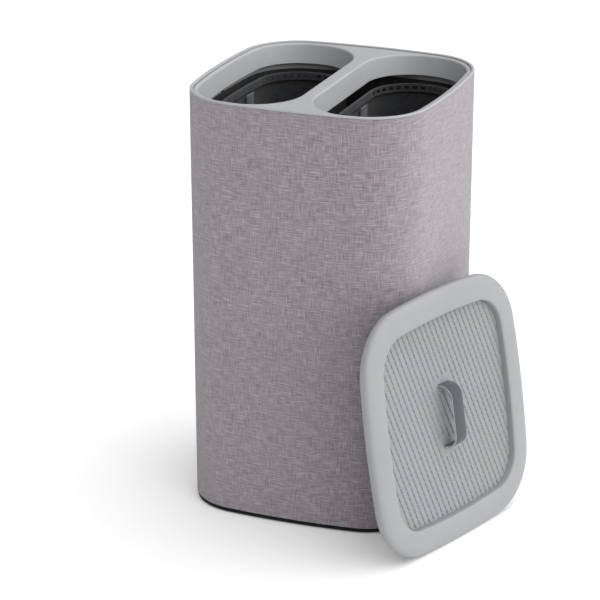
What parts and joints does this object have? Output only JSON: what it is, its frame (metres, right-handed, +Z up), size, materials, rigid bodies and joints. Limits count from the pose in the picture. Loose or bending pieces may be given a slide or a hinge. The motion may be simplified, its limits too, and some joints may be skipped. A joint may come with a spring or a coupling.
{
  "type": "laundry hamper with lid",
  "caption": "Tall rounded-square laundry hamper: linen-look wall, grey top frame with twin openings over lift-out bags, and a loose ventilated lid with a strap handle, leaning on its corner.",
  "frame": {"origin": "on the floor under the middle of the hamper, at the centre of the middle foot pad", "axes": "+Z up; the openings lie side by side along X and the bridge between them runs along Y; the lid leans on the +X, -Y corner"},
  "size_m": [0.4551, 0.4568, 0.6003],
  "materials": {
    "linen_cover": "mauve-grey melange linen-look weave",
    "grey_plastic": "smooth satin moulding",
    "mesh_plastic": "fine ventilated mesh",
    "black_plastic": "fine matt texture",
    "board": "plain plastic board",
    "charcoal_cloth": "charcoal woven polyester",
    "webbing": "flat blue-grey webbing",
    "rubber": "matt",
    "screw_steel": "plated"
  },
  "bodies": {
    "hamper": {"base_tray": "black_plastic", "foot_pad_centre": "rubber", "foot_pad_front_left": "rubber", "foot_pad_front_right": "rubber", "foot_pad_back_left": "rubber", "foot_pad_back_right": "rubber", "wall_shell": "board", "fabric_cover": "linen_cover", "rim_trim": "grey_plastic", "top_frame": "grey_plastic", "frame_screw_front": "screw_steel", "frame_screw_back": "screw_steel", "frame_screw_left": "screw_steel", "frame_screw_right": "screw_steel", "tray_screw_front": "screw_steel", "tray_screw_back": "screw_steel", "tray_screw_left": "screw_steel", "tray_screw_right": "screw_steel"},
    "lid_bumper": {"lid_bumper": "rubber"},
    "lid": {"lid_frame": "grey_plastic", "lid_panel": "mesh_plastic", "lid_strap": "webbing", "lid_strap_plate": "grey_plastic"},
    "left_bag": {"left_bag_shell": "charcoal_cloth", "left_bag_base_board": "charcoal_cloth", "left_bag_hoop": "black_plastic", "left_bag_patch_inner": "charcoal_cloth", "left_bag_patch_outer": "charcoal_cloth"},
    "left_bag_handle_inner": {"left_bag_handle_inner": "webbing"},
    "left_bag_handle_outer": {"left_bag_handle_outer": "webbing"},
    "right_bag": {"right_bag_shell": "charcoal_cloth", "right_bag_base_board": "charcoal_cloth", "right_bag_hoop": "black_plastic", "right_bag_patch_inner": "charcoal_cloth", "right_bag_patch_outer": "charcoal_cloth"},
    "right_bag_handle_inner": {"right_bag_handle_inner": "webbing"},
    "right_bag_handle_outer": {"right_bag_handle_outer": "webbing"}
  },
  "joints": [
    {"name": "lid_carry", "type": "hinge", "parent": "hamper", "child": "lid_bumper", "pos_m": [0.20076, -0.10776, 0.44764], "axis": [-0.4729, -0.8811, 0], "range_deg": [0, 235]},
    {"name": "lid_turn", "type": "hinge", "parent": "lid_bumper", "child": "lid", "pos_m": [0.20529, -0.11019, 0.17308], "axis": [0.4524, 0.8554, -0.2523], "range_deg": [0, 157.6]},
    {"name": "left_bag_lift", "type": "slide", "parent": "hamper", "child": "left_bag", "axis": [0, 0, 1], "range_m": [0, 0.65]},
    {"name": "left_bag_handle_inner_swing", "type": "hinge", "parent": "left_bag", "child": "left_bag_handle_inner", "pos_m": [-0.025, 0, 0.545], "axis": [0, 1, 0], "range_deg": [0, 180]},
    {"name": "left_bag_handle_outer_swing", "type": "hinge", "parent": "left_bag", "child": "left_bag_handle_outer", "pos_m": [-0.1464, 0, 0.545], "axis": [0, -1, 0], "range_deg": [0, 180]},
    {"name": "right_bag_lift", "type": "slide", "parent": "hamper", "child": "right_bag", "axis": [0, 0, 1], "range_m": [0, 0.65]},
    {"name": "right_bag_handle_inner_swing", "type": "hinge", "parent": "right_bag", "child": "right_bag_handle_inner", "pos_m": [0.025, 0, 0.545], "axis": [0, -1, 0], "range_deg": [0, 180]},
    {"name": "right_bag_handle_outer_swing", "type": "hinge", "parent": "right_bag", "child": "right_bag_handle_outer", "pos_m": [0.1464, 0, 0.545], "axis": [0, 1, 0], "range_deg": [0, 180]}
  ],
  "couplings": [
    {"joint": "lid_turn", "follows": "lid_carry", "ratio": 0.67012}
  ]
}
